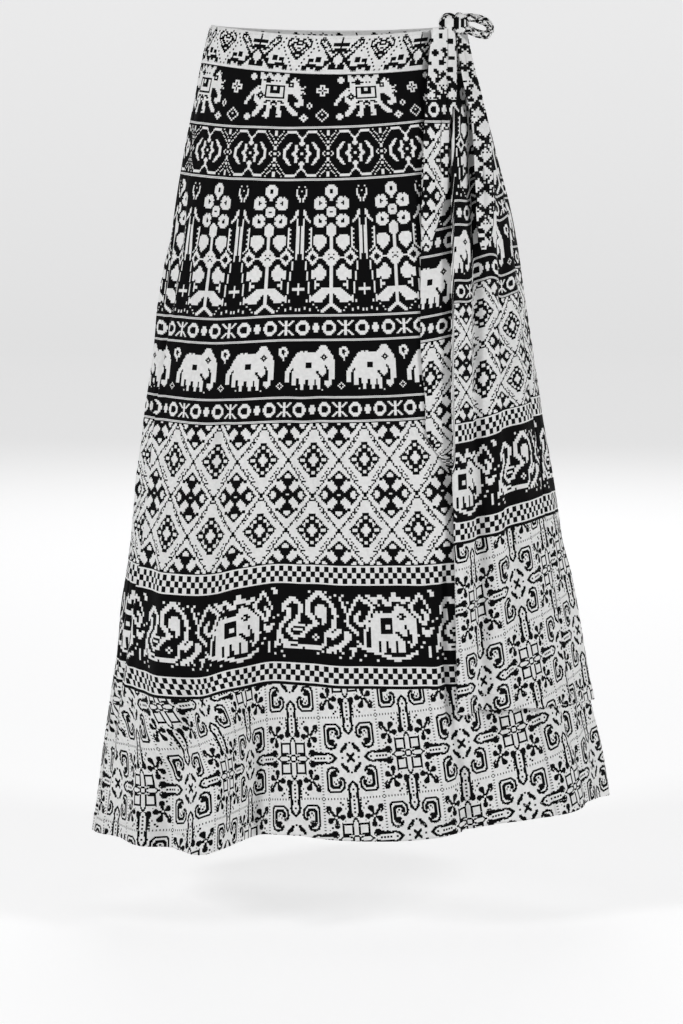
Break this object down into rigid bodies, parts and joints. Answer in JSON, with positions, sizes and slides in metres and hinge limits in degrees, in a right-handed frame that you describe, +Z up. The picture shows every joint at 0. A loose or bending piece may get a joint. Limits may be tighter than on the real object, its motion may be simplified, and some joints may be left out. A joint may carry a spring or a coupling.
{
  "type": "wrap skirt",
  "caption": "Long A-line cotton wrap skirt, worn and hollow, with an overlap and a half bow at the wearer's left hip and a black and white border print.",
  "frame": {"origin": "middle of the waist inside the waistband, where the wearer's waist holds the skirt", "axes": "+Z up along the wearer's body, -Y towards the wearer's front, +X towards the wearer's left"},
  "size_m": [0.6123, 0.4131, 0.9565],
  "materials": {
    "cotton_print": "matte printed plain-weave cotton, black and white",
    "cotton_band": "matte printed plain-weave cotton, mostly white"
  },
  "bodies": {
    "root": {"front_panel": "cotton_print", "underlap_panel": "cotton_print", "back_panel": "cotton_print", "overlap_panel": "cotton_print", "waistband_front": "cotton_band", "waistband_back": "cotton_band", "knot": "cotton_band", "bow_loop": "cotton_band", "tie_front": "cotton_band", "tie_side": "cotton_band"}
  },
  "joints": []
}
